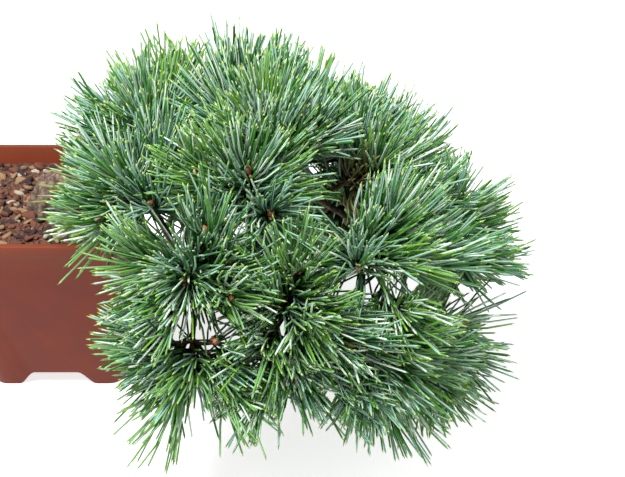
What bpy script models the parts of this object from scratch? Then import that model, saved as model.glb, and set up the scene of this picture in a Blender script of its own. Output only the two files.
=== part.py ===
"""A small Japanese white pine with a leaning trunk, in a square training pot.

Sizes are in metres and +Z is up. The origin is on the ground under the middle of the pot,
one side of the pot faces -Y, and the trunk leans towards +X.
"""

import math
import random

import bmesh
import bpy
from mathutils import Matrix, Vector

MM = 0.001
GAP = 0.3 * MM

# The pot: a thin moulded square, narrower at its foot, with an arch in the foot of each side
POT_FOOT_WIDTH = 105 * MM
POT_RIM_WIDTH = 138 * MM
POT_HEIGHT = 145 * MM
POT_WALL = 2.4 * MM
POT_CORNER = 13 * MM
LIP_DEPTH = 11 * MM
LIP_OUT = 2.5 * MM
FLOOR_UNDERSIDE = 16 * MM
FLOOR_THICKNESS = 2.6 * MM
ARCH_HEIGHT = 13 * MM
ARCH_TOP_HALF = 16.5 * MM
ARCH_FOOT_HALF = 31 * MM
CENTRE_PAD_RADIUS = 12 * MM
DRAIN_RADIUS = 5 * MM
DRAIN_OFFSET = 27 * MM

# The soil fills the pot to a little under its lip
SOIL_TOP = 130 * MM

# The trunk rises from the soil, leans out over the pot's edge and turns up again at its tip
TRUNK_FOOT = Vector((0, 0, 130.3)) * MM
TRUNK_RISE = Vector((14, -5, 198)) * MM
TRUNK_LEAN = Vector((108, -52, 150)) * MM
TRUNK_TIP = Vector((160, -58, 204)) * MM
TRUNK_FOOT_RADIUS = 12.5 * MM
TRUNK_TIP_RADIUS = 3.6 * MM
TRUNK_TAPER = 0.85
TRUNK_STATIONS = (0, 0.03, 0.07, 0.13, 0.22, 0.34, 0.46, 0.58, 0.70, 0.82, 0.92, 1)
ROOT_FLARE = 7 * MM
FLARE_HEIGHT = 22 * MM
ROOT_LOBES = 5
LOBE_SHARE = 0.35

# The crown: buds lie on a dome, and needles stand out of it
CROWN_CENTRE = Vector((165, -60, 110)) * MM
CROWN_REACH = Vector((150, 135, 139)) * MM

# Each pad of foliage: its heading round the dome and lift above its waist, in degrees, and its share
# of the dome's reach; the turn of its ring of shoots, in degrees, and their number; and the station
# along the trunk where its bough leaves
PADS = {
    "low_left": (-106, 8, 1.00, -30, 4, 0.54),
    "low_front": (-79, 6, 0.92, 90, 3, 0.68),
    "low_right": (-50, -2, 0.97, 0, 4, 0.76),
    "far_right": (-22, -12, 1.00, 10, 4, 0.88),
    "right_back_low": (31, -4, 1.00, 45, 4, 0.72),
    "back_low_right": (60, -3, 1.00, 40, 4, 0.60),
    "back_low": (88, -3, 1.00, 10, 4, 0.52),
    "back_left_low": (115, 3, 1.00, 50, 4, 0.40),
    "left_back": (130, 28, 1.03, 20, 4, 0.16),
    "left_front": (-110, 34, 1.00, -12, 4, 0.62),
    "centre_front": (-78, 23, 0.98, 90, 3, 0.90),
    "right_front": (-44, 31, 1.00, -20, 4, 0.94),
    "right_end": (6, 13, 1.03, 10, 4, 0.80),
    "right_back_mid": (46, 23, 0.95, 30, 4, 0.66),
    "back_right_mid": (76, 27, 1.00, 0, 4, 0.44),
    "back_mid": (105, 30, 1.00, 60, 4, 0.34),
    "upper_left": (-152, 50, 1.00, 5, 4, 0.38),
    "back_left": (150, 53, 1.05, 45, 4, 0.48),
    "back_top": (106, 58, 1.01, 90, 4, 0.56),
    "back_right": (45, 52, 0.87, 40, 4, 0.72),
    "right_upper": (8, 47, 0.90, 50, 4, 0.92),
    "top_front": (-94, 64, 1.00, 60, 3, 0.84),
    "tip": (-60, 86, 1.00, 45, 4, 1.00),
}

BOUGH_ROOT_RADIUS = 3.0 * MM
BOUGH_TIP_RADIUS = 1.8 * MM
BOUGH_SIDES = 5
BOUGH_STEPS = 6
COLLAR_CLEAR = 2.5 * MM
COLLAR_SPREAD = 1.3
STEEPEST_SINE = 0.35
BOUGH_LIFT = 0.45
BOUGH_EASE = 0.35
PAD_DEPTH = 46 * MM
STEM_SHARE = 0.6
INWARD_PULL = 0.75
STRAIGHT_PULL = 0.65
STEM_TURN = 0.6
STEM_TAPER = 1.2
CELL_DEPTH = 0.35
HUB_SHARE = 0.3
LOWEST_SHOOT = 0.45
HIGHEST_SHOOT = 0.95
RING_CHANCE = (0.9, 1.1)
RING_RADIUS = 31 * MM
SHOOT_SPREAD = 0.6
SHOOT_LIFT = 0.2
TWIG_RADIUS = 1.5 * MM
TWIG_EASE_OUT = 0.3
TWIG_EASE_IN = 0.45

# A spray: a slim three-sided core at the end of a shoot, with a needle standing out of each face
SPRAY_ROWS = 5
ROW_LENGTH = 4.2 * MM
CORE_RADIUS = 2.1 * MM
CORE_TIP_RADIUS = 1.3 * MM
ROW_TWIST = math.radians(85)
NEEDLE_LENGTH = 47 * MM
NEEDLE_RADIUS = 1.7 * MM
NEEDLE_CHANCE = (0.88, 1.06)
LOWEST_LEAN = math.radians(80)
HIGHEST_LEAN = math.radians(20)
LEAN_SPREAD = math.radians(7)
LEAN_CHANCE = math.radians(4)
OUTER_SHARE = 0.1
SHORTEST_SHARE = 0.5
CELL_MARGIN = 0.25 * MM
TIP_ROOM = 4 * MM
LIMB_MARGIN = 0.5 * MM
NEEDLE_MARGIN = 0.3 * MM
GROUND_MARGIN = 3 * MM


def clear_scene():
    for thing in list(bpy.data.objects):
        bpy.data.objects.remove(thing, do_unlink=True)


def material(name, colour, roughness):
    made = bpy.data.materials.new(name)
    made.use_nodes = True
    shader = made.node_tree.nodes["Principled BSDF"]
    shader.inputs["Base Color"].default_value = (*colour, 1)
    shader.inputs["Roughness"].default_value = roughness
    shader.inputs["Metallic"].default_value = 0
    return made


def mesh_object(name, verts, faces):
    mesh = bpy.data.meshes.new(name)
    mesh.from_pydata([tuple(v) for v in verts], [], faces)
    mesh.update()
    made = bpy.data.objects.new(name, mesh)
    bpy.context.scene.collection.objects.link(made)
    return made


def skin(rings):
    """Faces of a closed skin over rings of equal count, with a flat cap at each end."""
    count = len(rings[0])
    faces = []
    for row in range(len(rings) - 1):
        low = row * count
        high = low + count
        for i in range(count):
            j = (i + 1) % count
            faces.append((low + i, low + j, high + j, high + i))
    faces.append(tuple(reversed(range(count))))
    last = (len(rings) - 1) * count
    faces.append(tuple(range(last, last + count)))
    return [point for ring in rings for point in ring], faces


def boolean(body, operand, operation):
    """Cut or join a mesh with one object or one collection, apply it, and remove what was used."""
    step = body.modifiers.new("cut or join", "BOOLEAN")
    step.operation = operation
    step.solver = "EXACT"
    if isinstance(operand, bpy.types.Collection):
        step.operand_type = "COLLECTION"
        step.collection = operand
        used = list(operand.objects)
    else:
        step.object = operand
        used = [operand]
    graph = bpy.context.evaluated_depsgraph_get()
    result = bpy.data.meshes.new_from_object(body.evaluated_get(graph))
    body.modifiers.remove(step)
    body.data = result
    for thing in used:
        bpy.data.objects.remove(thing, do_unlink=True)
    if isinstance(operand, bpy.types.Collection):
        bpy.data.collections.remove(operand)


def gather(name, things):
    group = bpy.data.collections.new(name)
    bpy.context.scene.collection.children.link(group)
    for thing in things:
        group.objects.link(thing)
        bpy.context.scene.collection.objects.unlink(thing)
    return group


def keep_largest(body):
    """Drop the loose scraps and sealed hollows that a join left beside the main shell."""
    shape = bmesh.new()
    shape.from_mesh(body.data)
    left = set(shape.verts)
    shells = []
    while left:
        start = left.pop()
        shell = {start}
        reach = [start]
        while reach:
            here = reach.pop()
            for edge in here.link_edges:
                other = edge.other_vert(here)
                if other in left:
                    left.discard(other)
                    shell.add(other)
                    reach.append(other)
        shells.append(shell)
    shells.sort(key=len)
    scraps = [vert for shell in shells[:-1] for vert in shell]
    bmesh.ops.delete(shape, geom=scraps, context="VERTS")
    shape.to_mesh(body.data)
    shape.free()


def rounded_square(width, height, corner=POT_CORNER, steps=4):
    """A level square outline with round corners, anticlockwise from above."""
    half = width / 2 - corner
    points = []
    for quarter in range(4):
        middle_turn = math.radians(45 + 90 * quarter)
        x = math.copysign(half, math.cos(middle_turn))
        y = math.copysign(half, math.sin(middle_turn))
        centre = Vector((x, y, height))
        for i in range(steps + 1):
            turn = math.radians(90 * quarter + 90 * i / steps)
            points.append(centre + corner * Vector((math.cos(turn), math.sin(turn), 0)))
    return points


def pot_width(height):
    """The outer width of the pot's wall, leaving out the lip."""
    return POT_FOOT_WIDTH + (POT_RIM_WIDTH - POT_FOOT_WIDTH) * height / POT_HEIGHT


def inner_width(height):
    return pot_width(height) - 2 * POT_WALL


def inner_corner():
    return POT_CORNER - POT_WALL


def arch_cutter(turn):
    """A bar with the outline of one arch, across the foot of one side of the pot."""
    steps = 6
    outline = []
    for i in range(steps + 1):
        share = i / steps
        across = ARCH_FOOT_HALF + (ARCH_TOP_HALF - ARCH_FOOT_HALF) * share
        outline.append((across, ARCH_HEIGHT * (1 - math.cos(math.pi * share)) / 2))
    outline += [(-across, height) for across, height in reversed(outline)]
    outline += [(-ARCH_FOOT_HALF, -4 * MM), (ARCH_FOOT_HALF, -4 * MM)]
    near = POT_FOOT_WIDTH / 2 - 12 * MM
    far = POT_FOOT_WIDTH / 2 + 12 * MM
    rings = [[Vector((across, -depth, height)) for across, height in outline] for depth in (near, far)]
    cutter = mesh_object("arch cutter", *skin(rings))
    cutter.data.transform(Matrix.Rotation(turn, 4, "Z"))
    return cutter


def upright_cylinder(name, x, y, low, high, radius, sides):
    rings = []
    for height in (low, high):
        turns = [2 * math.pi * i / sides for i in range(sides)]
        rings.append([Vector((x + radius * math.cos(t), y + radius * math.sin(t), height)) for t in turns])
    return mesh_object(name, *skin(rings))


def make_pot():
    floor_top = FLOOR_UNDERSIDE + FLOOR_THICKNESS
    lip_low = POT_HEIGHT - LIP_DEPTH
    lip_width = POT_RIM_WIDTH + 2 * LIP_OUT
    rounding = 1.5 * MM
    rings = [
        rounded_square(inner_width(FLOOR_UNDERSIDE), FLOOR_UNDERSIDE, inner_corner()),
        rounded_square(inner_width(0), 0, inner_corner()),
        rounded_square(pot_width(0), 0),
        rounded_square(pot_width(lip_low), lip_low),
        rounded_square(lip_width, lip_low + 2 * rounding, POT_CORNER + LIP_OUT),
        rounded_square(lip_width, POT_HEIGHT - rounding, POT_CORNER + LIP_OUT),
        rounded_square(lip_width - 2 * rounding, POT_HEIGHT, POT_CORNER + LIP_OUT - rounding),
        rounded_square(inner_width(POT_HEIGHT) + rounding, POT_HEIGHT, inner_corner() + rounding / 2),
        rounded_square(inner_width(POT_HEIGHT - rounding), POT_HEIGHT - rounding, inner_corner()),
        rounded_square(inner_width(floor_top), floor_top, inner_corner()),
    ]
    pot = mesh_object("pot", *skin(rings))
    pad_top = FLOOR_UNDERSIDE + FLOOR_THICKNESS / 2
    pad = upright_cylinder("centre pad", 0, 0, 0, pad_top, CENTRE_PAD_RADIUS, 20)
    boolean(pot, pad, "UNION")
    for quarter in range(4):
        boolean(pot, arch_cutter(quarter * math.pi / 2), "DIFFERENCE")
        turn = math.pi / 4 + quarter * math.pi / 2
        x = math.sqrt(2) * DRAIN_OFFSET * math.cos(turn)
        y = math.sqrt(2) * DRAIN_OFFSET * math.sin(turn)
        drain_low = FLOOR_UNDERSIDE - 5 * MM
        drain = upright_cylinder("drain", x, y, drain_low, floor_top + 5 * MM, DRAIN_RADIUS, 12)
        boolean(pot, drain, "DIFFERENCE")
    keep_largest(pot)
    return pot


def make_soil():
    low = FLOOR_UNDERSIDE + FLOOR_THICKNESS + GAP
    rings = []
    for height, inset in ((low, 0), (SOIL_TOP - 3 * MM, 0), (SOIL_TOP, 4 * MM)):
        width = inner_width(height) - 2 * GAP - 2 * inset
        rings.append(rounded_square(width, height, inner_corner()))
    return mesh_object("soil", *skin(rings))


def bezier(points, share):
    a, b, c, d = points
    rest = 1 - share
    return a * rest**3 + b * 3 * share * rest**2 + c * 3 * share**2 * rest + d * share**3


def bezier_way(points, share):
    a, b, c, d = points
    rest = 1 - share
    return ((b - a) * rest**2 + (c - b) * 2 * share * rest + (d - c) * share**2).normalized()


TRUNK_CURVE = (TRUNK_FOOT, TRUNK_RISE, TRUNK_LEAN, TRUNK_TIP)


def trunk_radius(share):
    return TRUNK_FOOT_RADIUS + (TRUNK_TIP_RADIUS - TRUNK_FOOT_RADIUS) * share**TRUNK_TAPER


def sweep(centres, ways, radii, sides, turn=0.0, level_first=False):
    """Rings round a line of points, carried along without twisting."""
    side = ways[0].orthogonal().normalized()
    rings = []
    for centre, way, radius in zip(centres, ways, radii):
        side = (side - way * side.dot(way)).normalized()
        other = way.cross(side)
        ring = []
        for i in range(sides):
            angle = turn + 2 * math.pi * i / sides
            reach = radius(angle) if callable(radius) else radius
            ring.append(centre + reach * (math.cos(angle) * side + math.sin(angle) * other))
        rings.append(ring)
    if level_first:
        for point in rings[0]:
            point.z = centres[0].z
    return rings


def limb_object(name, line, sides, end_ways=(None, None)):
    """A closed tapering tube along a line of (point, radius), its ends square to the ways given."""
    centres = [point for point, radius in line]
    ways = []
    for i in range(len(centres)):
        ahead = centres[min(i + 1, len(centres) - 1)]
        behind = centres[max(i - 1, 0)]
        ways.append((ahead - behind).normalized())
    ways[0] = end_ways[0] or ways[0]
    ways[-1] = end_ways[1] or ways[-1]
    return mesh_object(name, *skin(sweep(centres, ways, [radius for point, radius in line], sides)))


def root_flare(height):
    """The lobed widening where the trunk meets the soil."""
    fade = max(0.0, 1 - height / FLARE_HEIGHT) ** 2
    flare = ROOT_FLARE * fade
    return lambda angle, base: base + flare * (1 - LOBE_SHARE + LOBE_SHARE * math.cos(ROOT_LOBES * angle))


def make_trunk(collars):
    centres = [bezier(TRUNK_CURVE, share) for share in TRUNK_STATIONS]
    ways = [bezier_way(TRUNK_CURVE, share) for share in TRUNK_STATIONS]
    radii = []
    for share, centre in zip(TRUNK_STATIONS, centres):
        flare = root_flare(centre.z - TRUNK_FOOT.z)
        radii.append(lambda angle, flare=flare, base=trunk_radius(share): flare(angle, base))
    rings = sweep(centres, ways, radii, 2 * ROOT_LOBES, level_first=True)
    trunk = mesh_object("trunk", *skin(rings))
    boolean(trunk, gather("collars", collars), "UNION")
    keep_largest(trunk)
    return trunk


def dome(heading, lift, share):
    """A point on the dome, or a share of the way out to it, and the way straight out of it there."""
    level = math.cos(lift)
    unit = Vector((level * math.cos(heading), level * math.sin(heading), math.sin(lift)))
    point = CROWN_CENTRE + share * Vector([r * u for r, u in zip(CROWN_REACH, unit)])
    out = Vector([u / r for r, u in zip(CROWN_REACH, unit)]).normalized()
    return point, out


class Pad:
    """One mass of foliage and the bough that carries it, laid out before anything is built."""

    def __init__(self, name, heading, lift, share, turn, shoots, station):
        self.name = name
        self.middle, self.out = dome(math.radians(heading), math.radians(lift), share)
        self.turn = math.radians(turn)
        self.shoots = shoots
        self.east = Vector((0, 0, 1)).cross(self.out).normalized()
        self.north = self.out.cross(self.east)
        self.leave = bezier(TRUNK_CURVE, station)
        inward = self.leave - self.middle
        back = (inward.normalized() * INWARD_PULL - self.out * STRAIGHT_PULL).normalized()
        depth = min(PAD_DEPTH, STEM_SHARE * inward.length)
        self.base = self.middle + back * depth
        self.stem_way = (self.out * STEM_TURN - back).normalized()
        self.cell_point = self.middle + back * PAD_DEPTH * CELL_DEPTH
        self.bough = []
        self.collar = []
        if station < 1:
            self.lay_bough(station)
        else:
            self.base = TRUNK_TIP
            self.stem_way = bezier_way(TRUNK_CURVE, 1)
        self.start = self.base + self.stem_way * GAP
        self.hub = self.start.lerp(self.middle, HUB_SHARE)

    def lay_bough(self, station):
        """The bough arches from its collar on the trunk to the foot of the pad's stem."""
        along = bezier_way(TRUNK_CURVE, station)
        toward = (self.base - self.leave).normalized()
        way = (toward + Vector((0, 0, BOUGH_LIFT))).normalized()
        cosine = abs(way.dot(along))
        sine = max(math.sqrt(1 - cosine * cosine), STEEPEST_SINE)
        thick = BOUGH_ROOT_RADIUS
        reach = (trunk_radius(station) + thick * cosine + COLLAR_CLEAR) / sine
        self.collar = [(self.leave, thick * COLLAR_SPREAD), (self.leave + way * reach, thick)]
        start = self.leave + way * (reach + GAP)
        ease = (self.base - start).length * BOUGH_EASE
        curve = (start, start + way * ease, self.base - self.stem_way * ease, self.base)
        for i in range(BOUGH_STEPS + 1):
            share = i / BOUGH_STEPS
            radius = thick + (BOUGH_TIP_RADIUS - thick) * share
            self.bough.append((bezier(curve, share), radius))
        self.end_ways = (way, self.stem_way)


def nearest(a, b, c, d):
    """The least distance between the stretches a-b and c-d, and where it lies along each."""
    u, v, w = b - a, d - c, a - c
    uu, uv, vv, uw, vw = u.dot(u), u.dot(v), v.dot(v), u.dot(w), v.dot(w)
    wide = uu * vv - uv * uv
    s = min(max((uv * vw - vv * uw) / wide, 0), 1) if wide > 1e-18 else 0.0
    t = min(max((uv * s + vw) / vv, 0), 1)
    s = min(max((uv * t - uw) / uu, 0), 1)
    return (w + u * s - v * t).length, s, t


def clear_of_limbs(a, b, radius, limbs, taper=0.0):
    """Whether a stretch of twig or needle keeps its distance from every limb."""
    for line in limbs:
        for (c, thick), (d, thin) in zip(line, line[1:]):
            away, s, t = nearest(a, b, c, d)
            if away < radius * (1 - taper * s) + thick + (thin - thick) * t + LIMB_MARGIN:
                return False
    return True


def clear_of_needles(a, b, needles, radius):
    """Whether a needle, or its outer stretch, keeps clear of others that taper as it does."""
    for c, d in needles:
        away, s, t = nearest(a, b, c, d)
        if away < radius * (2 - s - t) + NEEDLE_MARGIN:
            return False
    return True


def clear_of_pot(point):
    """Whether a point lies outside the pot and above the ground."""
    if point.z < GROUND_MARGIN:
        return False
    if point.z > POT_HEIGHT + 2 * MM:
        return True
    half = pot_width(point.z) / 2 + LIP_OUT + 2 * MM
    return max(abs(point.x), abs(point.y)) > half


def share_in_cell(pad, pads, a, b, root_radius, tip_radius=0.0):
    """The share of a stretch, from its root, that stays in its own pad's space."""
    share = 1.0
    for other in pads:
        if other is pad:
            continue
        wall_way = (other.cell_point - pad.cell_point).normalized()
        room = ((other.cell_point + pad.cell_point) / 2 - a).dot(wall_way) - CELL_MARGIN
        if room < root_radius:
            return 0.0
        going = (b - a).dot(wall_way)
        if going > room - tip_radius:
            share = min(share, (room - tip_radius) / going)
    return share


def shoot_tips(pad, pads, chance):
    """Where each shoot of a pad ends and which way it points: a ring, and a leader in its middle."""
    tips = []
    for k in range(pad.shoots):
        angle = pad.turn + 2 * math.pi * k / pad.shoots
        aside = pad.east * math.cos(angle) + pad.north * math.sin(angle)
        reach = RING_RADIUS * chance.uniform(*RING_CHANCE)
        reach *= share_in_cell(pad, pads, pad.middle, pad.middle + aside * reach, 0, TIP_ROOM)
        sink = reach * reach / (2 * CROWN_REACH.z)
        tip = pad.middle + aside * reach - pad.out * sink
        way = (pad.out + aside * SHOOT_SPREAD + Vector((0, 0, SHOOT_LIFT))).normalized()
        tips.append((tip, way))
    tips.append((pad.middle, pad.out))
    return tips


def twig_line(start, start_way, tip, way):
    """The points of a twig that leaves its stem one way and ends the other."""
    span = (tip - start).length
    curve = (start, start + start_way * span * TWIG_EASE_OUT, tip - way * span * TWIG_EASE_IN, tip)
    return [bezier(curve, share) for share in (0, 0.5, 1)]


class Spray:
    """One shoot: a three-sided twig that ends in a core with needles, as a single closed skin."""

    def __init__(self, line, way):
        ways = [(b - a).normalized() for a, b in zip(line, line[1:])] + [way]
        twig_rings = sweep(line, ways, [TWIG_RADIUS] * len(line), 3)
        self.points, self.faces = skin(twig_rings)
        self.faces.pop()
        spray_foot = line[-1]
        side = (twig_rings[-1][0] - spray_foot).normalized()
        other = way.cross(side)
        self.way, self.side, self.other = way, side, other
        self.needle_faces = []
        below = len(self.points) - 3
        for row in range(1, SPRAY_ROWS + 1):
            centre = spray_foot + way * ROW_LENGTH * row
            radius = CORE_RADIUS if row < SPRAY_ROWS else CORE_TIP_RADIUS
            for i in range(3):
                angle = ROW_TWIST * row + 2 * math.pi * i / 3
                self.points.append(centre + radius * (side * math.cos(angle) + other * math.sin(angle)))
            above = below + 3
            lean = LOWEST_LEAN + (HIGHEST_LEAN - LOWEST_LEAN) * (row - 0.5) / SPRAY_ROWS
            for i in range(3):
                j = (i + 1) % 3
                self.needle_faces.append((below + i, below + j, above + i, lean + LEAN_SPREAD))
                self.needle_faces.append((below + j, above + j, above + i, lean - LEAN_SPREAD))
            below = above
        self.needle_faces.append((below, below + 1, below + 2, 0.0))

    def grow(self, pad, pads, limbs, needles, chance):
        """Raise a needle on each face of the core that has room for one."""
        grown = []
        outer = []
        for a, b, c, lean in self.needle_faces:
            middle = (self.points[a] + self.points[b] + self.points[c]) / 3
            outward = (self.points[b] - self.points[a]).cross(self.points[c] - self.points[a])
            outward = (outward - self.way * outward.dot(self.way)).normalized()
            lean += chance.uniform(-LEAN_CHANCE, LEAN_CHANCE)
            out = self.way * math.cos(lean) + outward * math.sin(lean)
            end = middle + out * NEEDLE_LENGTH * chance.uniform(*NEEDLE_CHANCE)
            kept = share_in_cell(pad, pads, middle, end, NEEDLE_RADIUS / 2)
            end = middle.lerp(end, kept)
            room = kept >= SHORTEST_SHARE and clear_of_pot(end) and clear_of_pot((middle + end) / 2)
            room = room and clear_of_limbs(middle, end, NEEDLE_RADIUS, limbs, 1.0)
            beyond = middle.lerp(end, OUTER_SHARE)
            outer_radius = NEEDLE_RADIUS * (1 - OUTER_SHARE)
            room = room and clear_of_needles(middle, end, needles, NEEDLE_RADIUS)
            if room and clear_of_needles(beyond, end, outer, outer_radius):
                apex = len(self.points)
                self.points.append(end)
                self.faces += [(a, b, apex), (b, c, apex), (c, a, apex)]
                grown.append((middle, end))
                outer.append((beyond, end))
            else:
                self.faces.append((a, b, c))
        needles += grown


def make_mass(pad, pads, limbs, number):
    """A stem off the bough's tip, shoots that branch from it, and a spray on each."""
    chance = random.Random(100 + number)
    others = [line for line in limbs if line is not pad.bough]
    stem = [(pad.start, BOUGH_TIP_RADIUS), (pad.hub, TWIG_RADIUS * STEM_TAPER)]
    body = limb_object("needles_" + pad.name, stem, 5, (pad.stem_way, None))
    shoots = []
    needles = []
    for k, (tip, way) in enumerate(shoot_tips(pad, pads, chance)):
        share = LOWEST_SHOOT + (HIGHEST_SHOOT - LOWEST_SHOOT) * (k + 1) / (pad.shoots + 1)
        spray_foot = tip - way * SPRAY_ROWS * ROW_LENGTH
        line = twig_line(pad.start.lerp(pad.hub, share), pad.stem_way, spray_foot, way)
        fits = share_in_cell(pad, pads, line[0], tip, TWIG_RADIUS, CORE_RADIUS) >= 1
        clear = all(clear_of_limbs(a, b, CORE_RADIUS, others) for a, b in zip(line, line[1:]))
        if fits and clear:
            shoot = Spray(line, way)
            shoot.grow(pad, pads, limbs, needles, chance)
            shoots.append(mesh_object("shoot", shoot.points, shoot.faces))
    boolean(body, gather("shoots of " + pad.name, shoots), "UNION")
    keep_largest(body)
    return body


def bough_objects(pads):
    made = []
    for pad in pads:
        if pad.bough:
            made.append(limb_object("bough_" + pad.name, pad.bough, BOUGH_SIDES, pad.end_ways))
    return made


def dress(things, finish):
    for thing in things:
        thing.data.materials.clear()
        thing.data.materials.append(finish)


def main():
    clear_scene()
    pads = [Pad(name, *sizes) for name, sizes in PADS.items()]
    trunk_line = []
    for i in range(13):
        share = i / 12
        trunk_line.append((bezier(TRUNK_CURVE, share), trunk_radius(share)))
    limbs = [trunk_line] + [pad.bough for pad in pads if pad.bough]
    limbs += [pad.collar for pad in pads if pad.collar]
    plastic = material("pot plastic", (0.23, 0.075, 0.05), 0.6)
    earth = material("soil", (0.09, 0.055, 0.04), 0.95)
    bark = material("bark", (0.16, 0.11, 0.08), 0.9)
    green = material("needles", (0.09, 0.2, 0.09), 0.55)
    dress([make_pot()], plastic)
    dress([make_soil()], earth)
    collars = [limb_object("collar", pad.collar, BOUGH_SIDES) for pad in pads if pad.collar]
    dress([make_trunk(collars)], bark)
    dress(bough_objects(pads), bark)
    dress([make_mass(pad, pads, limbs, number) for number, pad in enumerate(pads)], green)


main()
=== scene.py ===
import math
import random

import bpy
import numpy as np
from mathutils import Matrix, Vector


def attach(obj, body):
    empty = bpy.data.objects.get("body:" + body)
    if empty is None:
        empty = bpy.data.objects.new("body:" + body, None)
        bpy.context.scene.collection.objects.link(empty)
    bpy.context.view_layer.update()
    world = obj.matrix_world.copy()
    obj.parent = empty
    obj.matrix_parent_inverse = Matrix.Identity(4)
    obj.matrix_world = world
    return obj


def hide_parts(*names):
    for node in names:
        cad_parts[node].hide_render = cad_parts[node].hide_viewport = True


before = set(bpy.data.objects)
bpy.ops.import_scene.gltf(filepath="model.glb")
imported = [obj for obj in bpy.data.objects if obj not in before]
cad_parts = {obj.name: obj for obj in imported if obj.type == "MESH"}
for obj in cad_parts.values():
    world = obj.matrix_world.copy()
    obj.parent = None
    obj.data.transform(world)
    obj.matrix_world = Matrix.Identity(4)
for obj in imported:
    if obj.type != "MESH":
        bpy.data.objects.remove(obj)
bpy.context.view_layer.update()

MM = 0.001


# The pot. A thin square training pot of brown plastic, moulded in one piece: a tapering wall with a
# turned-out lip, and a floor held off the ground by four corner feet and a round pad.
# An arch is left open in the foot of each side, and four holes drain the floor.
POT_FOOT = 105 * MM
POT_RIM = 138 * MM
POT_HEIGHT = 145 * MM
POT_WALL = 2.4 * MM
POT_CORNER = 13 * MM
RIM_WALL = 1.8 * MM
LIP_LOW = 134 * MM
LIP_OUT = 2.5 * MM
FLOOR_UNDERSIDE = 16 * MM
FLOOR_TOP = 18.6 * MM
PAD_RADIUS = 12 * MM
DRAIN_RADIUS = 5 * MM
DRAIN_OFFSET = 27 * MM
DRAIN_CUT_HEIGHT = 12 * MM
ARCH_HEIGHT = 13 * MM
ARCH_TOP_HALF = 16.5 * MM
ARCH_FOOT_HALF = 31 * MM
ARCH_CUT_DEPTH = 24 * MM
ARCH_CUT_BELOW = 4 * MM
ARCH_CUT_ABOVE = 0.02 * MM
EDGE_ROUNDING = 0.55 * MM


def pot_width(height):
    """The outer width of the pot's wall at a height, leaving out the lip."""
    return POT_FOOT + (POT_RIM - POT_FOOT) * height / POT_HEIGHT


def pick_faces(piece, test):
    """In edit mode, selects the faces whose middle and normal pass the test."""
    bpy.ops.object.mode_set(mode="OBJECT")
    bpy.context.tool_settings.mesh_select_mode = (False, False, True)
    for corner in piece.data.vertices:
        corner.select = False
    for edge in piece.data.edges:
        edge.select = False
    for face in piece.data.polygons:
        face.select = test(face.center, face.normal)
    bpy.ops.object.mode_set(mode="EDIT")


def pick_edges(piece, test):
    """In edit mode, selects the edges whose two ends pass the test."""
    bpy.ops.object.mode_set(mode="OBJECT")
    bpy.context.tool_settings.mesh_select_mode = (False, True, False)
    points = piece.data.vertices
    for face in piece.data.polygons:
        face.select = False
    for corner in points:
        corner.select = False
    for edge in piece.data.edges:
        edge.select = test(points[edge.vertices[0]].co, points[edge.vertices[1]].co)
    bpy.ops.object.mode_set(mode="EDIT")


def new_piece(name):
    """Names the primitive that was just added and puts its place in its mesh."""
    piece = bpy.context.object
    piece.name = name
    bpy.ops.object.transform_apply(location=True, rotation=True, scale=True)
    return piece


def cut_or_join(piece, other, operation):
    """Joins another piece to this one or cuts it out of it, and removes the other."""
    bpy.ops.object.select_all(action="DESELECT")
    piece.select_set(True)
    bpy.context.view_layer.objects.active = piece
    step = piece.modifiers.new("cut", "BOOLEAN")
    step.operation = operation
    step.object = other
    step.solver = "EXACT"
    bpy.ops.object.modifier_apply(modifier=step.name)
    bpy.data.objects.remove(other, do_unlink=True)


bpy.ops.object.select_all(action="DESELECT")
bpy.ops.mesh.primitive_cube_add(size=1, location=(0, 0, POT_HEIGHT / 2))
bpy.context.object.scale = (POT_RIM, POT_RIM, POT_HEIGHT)
pot = new_piece("pot_shell")
taper = POT_FOOT / POT_RIM
pick_faces(pot, lambda middle, normal: normal.z < -0.9)
bpy.ops.transform.resize(value=(taper, taper, 1), center_override=(0, 0, 0))
pick_edges(pot, lambda a, b: abs(a.z - b.z) > POT_HEIGHT / 2)
bpy.ops.mesh.bevel(offset=POT_CORNER, segments=9, affect="EDGES")
bpy.ops.mesh.select_all(action="SELECT")
bpy.ops.mesh.bisect(plane_co=(0, 0, LIP_LOW), plane_no=(0, 0, 1))
pick_faces(pot, lambda middle, normal: abs(normal.z) < 0.5 and middle.z > LIP_LOW)
bpy.ops.mesh.extrude_region_shrink_fatten(TRANSFORM_OT_shrink_fatten={"value": LIP_OUT})
pick_faces(pot, lambda middle, normal: normal.z > 0.9 and middle.xy.length < POT_CORNER)
bpy.ops.mesh.inset(thickness=RIM_WALL)
bpy.ops.mesh.extrude_region_move(TRANSFORM_OT_translate={"value": (0, 0, FLOOR_TOP - POT_HEIGHT)})
floor_taper = (pot_width(FLOOR_TOP) - 2 * POT_WALL) / (POT_RIM - 2 * POT_WALL)
bpy.ops.transform.resize(value=(floor_taper, floor_taper, 1), center_override=(0, 0, 0))
pick_faces(pot, lambda middle, normal: normal.z < -0.9 and middle.z < MM)
bpy.ops.mesh.inset(thickness=POT_WALL)
bpy.ops.mesh.extrude_region_move(TRANSFORM_OT_translate={"value": (0, 0, FLOOR_UNDERSIDE)})
bpy.ops.object.mode_set(mode="OBJECT")

bpy.ops.object.select_all(action="DESELECT")
pad_height = FLOOR_UNDERSIDE + MM
bpy.ops.mesh.primitive_cylinder_add(
    vertices=40, radius=PAD_RADIUS, depth=pad_height, location=(0, 0, pad_height / 2)
)
cut_or_join(pot, new_piece("round_pad"), "UNION")

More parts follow.
